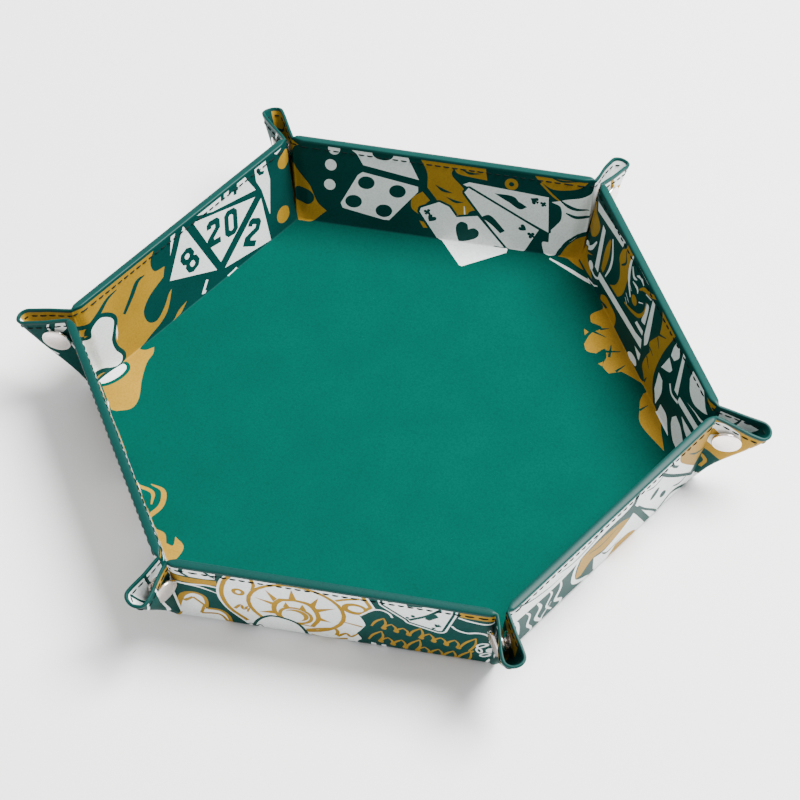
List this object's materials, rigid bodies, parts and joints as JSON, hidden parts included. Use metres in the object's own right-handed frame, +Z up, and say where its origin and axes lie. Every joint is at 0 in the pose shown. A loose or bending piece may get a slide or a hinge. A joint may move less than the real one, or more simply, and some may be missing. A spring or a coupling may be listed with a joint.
{
  "type": "folding dice tray",
  "caption": "Hexagonal folding tray of printed leather over stiff boards, its corners pinched into ears by snap fasteners, for rolling dice.",
  "frame": {"origin": "middle of the underside, on the surface the tray stands on", "axes": "+Z up; +X towards corner 1; +Y towards the middle of wall 2"},
  "size_m": [0.307, 0.2682, 0.0434],
  "materials": {
    "printed_leather": "dark green synthetic leather printed with white and ochre game motifs, fine grain, semi-matt",
    "floor_lining": "plain green synthetic leather, fine grain, matt",
    "board": "grey chipboard, raw",
    "snap_metal": "nickel-plated, bright, softly brushed"
  },
  "bodies": {
    "floor": {"floor_cover": "printed_leather", "floor_board": "board", "floor_lining": "floor_lining"},
    "wall_1": {"wall_1_sleeve": "printed_leather", "wall_1_board": "board"},
    "wall_2": {"wall_2_sleeve": "printed_leather", "wall_2_board": "board"},
    "wall_3": {"wall_3_sleeve": "printed_leather", "wall_3_board": "board"},
    "wall_4": {"wall_4_sleeve": "printed_leather", "wall_4_board": "board"},
    "wall_5": {"wall_5_sleeve": "printed_leather", "wall_5_board": "board"},
    "wall_6": {"wall_6_sleeve": "printed_leather", "wall_6_board": "board"},
    "ear_1a": {"corner_1_gusset_a": "printed_leather", "corner_1_snap_cap": "snap_metal", "corner_1_snap_socket": "snap_metal"},
    "crest_1a": {"corner_1_crest_a": "printed_leather"},
    "ear_1b": {"corner_1_gusset_b": "printed_leather", "corner_1_snap_stud": "snap_metal"},
    "crest_1b": {"corner_1_crest_b": "printed_leather"},
    "ear_2a": {"corner_2_gusset_a": "printed_leather", "corner_2_snap_cap": "snap_metal", "corner_2_snap_socket": "snap_metal"},
    "crest_2a": {"corner_2_crest_a": "printed_leather"},
    "ear_2b": {"corner_2_gusset_b": "printed_leather", "corner_2_snap_stud": "snap_metal"},
    "crest_2b": {"corner_2_crest_b": "printed_leather"},
    "ear_3a": {"corner_3_gusset_a": "printed_leather", "corner_3_snap_stud": "snap_metal"},
    "crest_3a": {"corner_3_crest_a": "printed_leather"},
    "ear_3b": {"corner_3_gusset_b": "printed_leather", "corner_3_snap_cap": "snap_metal", "corner_3_snap_socket": "snap_metal"},
    "crest_3b": {"corner_3_crest_b": "printed_leather"},
    "ear_4a": {"corner_4_gusset_a": "printed_leather", "corner_4_snap_stud": "snap_metal"},
    "crest_4a": {"corner_4_crest_a": "printed_leather"},
    "ear_4b": {"corner_4_gusset_b": "printed_leather", "corner_4_snap_cap": "snap_metal", "corner_4_snap_socket": "snap_metal"},
    "crest_4b": {"corner_4_crest_b": "printed_leather"},
    "ear_5a": {"corner_5_gusset_a": "printed_leather", "corner_5_snap_stud": "snap_metal"},
    "crest_5a": {"corner_5_crest_a": "printed_leather"},
    "ear_5b": {"corner_5_gusset_b": "printed_leather", "corner_5_snap_cap": "snap_metal", "corner_5_snap_socket": "snap_metal"},
    "crest_5b": {"corner_5_crest_b": "printed_leather"},
    "ear_6a": {"corner_6_gusset_a": "printed_leather", "corner_6_snap_cap": "snap_metal", "corner_6_snap_socket": "snap_metal"},
    "crest_6a": {"corner_6_crest_a": "printed_leather"},
    "ear_6b": {"corner_6_gusset_b": "printed_leather", "corner_6_snap_stud": "snap_metal"},
    "crest_6b": {"corner_6_crest_b": "printed_leather"}
  },
  "joints": [
    {"name": "wall_1_fold", "type": "hinge", "parent": "floor", "child": "wall_1", "pos_m": [0.09336, 0.0539, 0.0017], "axis": [-0.5, 0.866, 0], "range_deg": [0, 79]},
    {"name": "wall_2_fold", "type": "hinge", "parent": "floor", "child": "wall_2", "pos_m": [0, 0.1078, 0.0017], "axis": [-1, 0, 0], "range_deg": [0, 79]},
    {"name": "wall_3_fold", "type": "hinge", "parent": "floor", "child": "wall_3", "pos_m": [-0.09336, 0.0539, 0.0017], "axis": [-0.5, -0.866, 0], "range_deg": [0, 79]},
    {"name": "wall_4_fold", "type": "hinge", "parent": "floor", "child": "wall_4", "pos_m": [-0.09336, -0.0539, 0.0017], "axis": [0.5, -0.866, 0], "range_deg": [0, 79]},
    {"name": "wall_5_fold", "type": "hinge", "parent": "floor", "child": "wall_5", "pos_m": [0, -0.1078, 0.0017], "axis": [1, 0, 0], "range_deg": [0, 79]},
    {"name": "wall_6_fold", "type": "hinge", "parent": "floor", "child": "wall_6", "pos_m": [0.09336, -0.0539, 0.0017], "axis": [0.5, 0.866, 0], "range_deg": [0, 79]},
    {"name": "gusset_1a_fold", "type": "hinge", "parent": "wall_6", "child": "ear_1a", "pos_m": [0.12448, 0, 0.0017], "axis": [0.1477, -0.1256, 0.981], "range_deg": [0, 55.3]},
    {"name": "crest_1a_fold", "type": "hinge", "parent": "ear_1a", "child": "crest_1a", "pos_m": [0.12448, 0, 0.0017], "axis": [-0.5936, 0.0698, -0.8017], "range_deg": [0, 82.2]},
    {"name": "gusset_1b_fold", "type": "hinge", "parent": "wall_1", "child": "ear_1b", "pos_m": [0.12448, 0, 0.0017], "axis": [-0.1477, -0.1256, -0.981], "range_deg": [0, 55.3]},
    {"name": "crest_1b_fold", "type": "hinge", "parent": "ear_1b", "child": "crest_1b", "pos_m": [0.12448, 0, 0.0017], "axis": [0.5936, 0.0698, 0.8017], "range_deg": [0, 82.2]},
    {"name": "gusset_2a_fold", "type": "hinge", "parent": "wall_1", "child": "ear_2a", "pos_m": [0.06224, 0.1078, 0.0017], "axis": [0.1826, 0.0651, 0.981], "range_deg": [0, 55.3]},
    {"name": "crest_2a_fold", "type": "hinge", "parent": "ear_2a", "child": "crest_2a", "pos_m": [0.06224, 0.1078, 0.0017], "axis": [-0.3572, -0.4792, -0.8017], "range_deg": [0, 82.2]},
    {"name": "gusset_2b_fold", "type": "hinge", "parent": "wall_2", "child": "ear_2b", "pos_m": [0.06224, 0.1078, 0.0017], "axis": [0.0349, -0.1907, -0.981], "range_deg": [0, 55.3]},
    {"name": "crest_2b_fold", "type": "hinge", "parent": "ear_2b", "child": "crest_2b", "pos_m": [0.06224, 0.1078, 0.0017], "axis": [0.2364, 0.549, 0.8017], "range_deg": [0, 82.2]},
    {"name": "gusset_3a_fold", "type": "hinge", "parent": "wall_2", "child": "ear_3a", "pos_m": [-0.06224, 0.1078, 0.0017], "axis": [0.0349, 0.1907, 0.981], "range_deg": [0, 55.3]},
    {"name": "crest_3a_fold", "type": "hinge", "parent": "ear_3a", "child": "crest_3a", "pos_m": [-0.06224, 0.1078, 0.0017], "axis": [0.2364, -0.549, -0.8017], "range_deg": [0, 82.2]},
    {"name": "gusset_3b_fold", "type": "hinge", "parent": "wall_3", "child": "ear_3b", "pos_m": [-0.06224, 0.1078, 0.0017], "axis": [0.1826, -0.0651, -0.981], "range_deg": [0, 55.3]},
    {"name": "crest_3b_fold", "type": "hinge", "parent": "ear_3b", "child": "crest_3b", "pos_m": [-0.06224, 0.1078, 0.0017], "axis": [-0.3572, 0.4792, 0.8017], "range_deg": [0, 82.2]},
    {"name": "gusset_4a_fold", "type": "hinge", "parent": "wall_3", "child": "ear_4a", "pos_m": [-0.12448, 0, 0.0017], "axis": [-0.1477, 0.1256, 0.981], "range_deg": [0, 55.3]},
    {"name": "crest_4a_fold", "type": "hinge", "parent": "ear_4a", "child": "crest_4a", "pos_m": [-0.12448, 0, 0.0017], "axis": [0.5936, -0.0698, -0.8017], "range_deg": [0, 82.2]},
    {"name": "gusset_4b_fold", "type": "hinge", "parent": "wall_4", "child": "ear_4b", "pos_m": [-0.12448, 0, 0.0017], "axis": [0.1477, 0.1256, -0.981], "range_deg": [0, 55.3]},
    {"name": "crest_4b_fold", "type": "hinge", "parent": "ear_4b", "child": "crest_4b", "pos_m": [-0.12448, 0, 0.0017], "axis": [-0.5936, -0.0698, 0.8017], "range_deg": [0, 82.2]},
    {"name": "gusset_5a_fold", "type": "hinge", "parent": "wall_4", "child": "ear_5a", "pos_m": [-0.06224, -0.1078, 0.0017], "axis": [-0.1826, -0.0651, 0.981], "range_deg": [0, 55.3]},
    {"name": "crest_5a_fold", "type": "hinge", "parent": "ear_5a", "child": "crest_5a", "pos_m": [-0.06224, -0.1078, 0.0017], "axis": [0.3572, 0.4792, -0.8017], "range_deg": [0, 82.2]},
    {"name": "gusset_5b_fold", "type": "hinge", "parent": "wall_5", "child": "ear_5b", "pos_m": [-0.06224, -0.1078, 0.0017], "axis": [-0.0349, 0.1907, -0.981], "range_deg": [0, 55.3]},
    {"name": "crest_5b_fold", "type": "hinge", "parent": "ear_5b", "child": "crest_5b", "pos_m": [-0.06224, -0.1078, 0.0017], "axis": [-0.2364, -0.549, 0.8017], "range_deg": [0, 82.2]},
    {"name": "gusset_6a_fold", "type": "hinge", "parent": "wall_5", "child": "ear_6a", "pos_m": [0.06224, -0.1078, 0.0017], "axis": [-0.0349, -0.1907, 0.981], "range_deg": [0, 55.3]},
    {"name": "crest_6a_fold", "type": "hinge", "parent": "ear_6a", "child": "crest_6a", "pos_m": [0.06224, -0.1078, 0.0017], "axis": [-0.2364, 0.549, -0.8017], "range_deg": [0, 82.2]},
    {"name": "gusset_6b_fold", "type": "hinge", "parent": "wall_6", "child": "ear_6b", "pos_m": [0.06224, -0.1078, 0.0017], "axis": [-0.1826, 0.0651, -0.981], "range_deg": [0, 55.3]},
    {"name": "crest_6b_fold", "type": "hinge", "parent": "ear_6b", "child": "crest_6b", "pos_m": [0.06224, -0.1078, 0.0017], "axis": [0.3572, -0.4792, 0.8017], "range_deg": [0, 82.2]}
  ],
  "couplings": [
    {"joint": "wall_2_fold", "follows": "wall_1_fold", "ratio": 1},
    {"joint": "wall_3_fold", "follows": "wall_1_fold", "ratio": 1},
    {"joint": "wall_4_fold", "follows": "wall_1_fold", "ratio": 1},
    {"joint": "wall_5_fold", "follows": "wall_1_fold", "ratio": 1},
    {"joint": "wall_6_fold", "follows": "wall_1_fold", "ratio": 1},
    {"joint": "gusset_1a_fold", "follows": "wall_1_fold", "ratio": 0.69979},
    {"joint": "crest_1a_fold", "follows": "wall_1_fold", "ratio": 1.0399},
    {"joint": "gusset_1b_fold", "follows": "wall_1_fold", "ratio": 0.69979},
    {"joint": "crest_1b_fold", "follows": "wall_1_fold", "ratio": 1.0399},
    {"joint": "gusset_2a_fold", "follows": "wall_1_fold", "ratio": 0.69979},
    {"joint": "crest_2a_fold", "follows": "wall_1_fold", "ratio": 1.0399},
    {"joint": "gusset_2b_fold", "follows": "wall_1_fold", "ratio": 0.69979},
    {"joint": "crest_2b_fold", "follows": "wall_1_fold", "ratio": 1.0399},
    {"joint": "gusset_3a_fold", "follows": "wall_1_fold", "ratio": 0.69979},
    {"joint": "crest_3a_fold", "follows": "wall_1_fold", "ratio": 1.0399},
    {"joint": "gusset_3b_fold", "follows": "wall_1_fold", "ratio": 0.69979},
    {"joint": "crest_3b_fold", "follows": "wall_1_fold", "ratio": 1.0399},
    {"joint": "gusset_4a_fold", "follows": "wall_1_fold", "ratio": 0.69979},
    {"joint": "crest_4a_fold", "follows": "wall_1_fold", "ratio": 1.0399},
    {"joint": "gusset_4b_fold", "follows": "wall_1_fold", "ratio": 0.69979},
    {"joint": "crest_4b_fold", "follows": "wall_1_fold", "ratio": 1.0399},
    {"joint": "gusset_5a_fold", "follows": "wall_1_fold", "ratio": 0.69979},
    {"joint": "crest_5a_fold", "follows": "wall_1_fold", "ratio": 1.0399},
    {"joint": "gusset_5b_fold", "follows": "wall_1_fold", "ratio": 0.69979},
    {"joint": "crest_5b_fold", "follows": "wall_1_fold", "ratio": 1.0399},
    {"joint": "gusset_6a_fold", "follows": "wall_1_fold", "ratio": 0.69979},
    {"joint": "crest_6a_fold", "follows": "wall_1_fold", "ratio": 1.0399},
    {"joint": "gusset_6b_fold", "follows": "wall_1_fold", "ratio": 0.69979},
    {"joint": "crest_6b_fold", "follows": "wall_1_fold", "ratio": 1.0399}
  ]
}
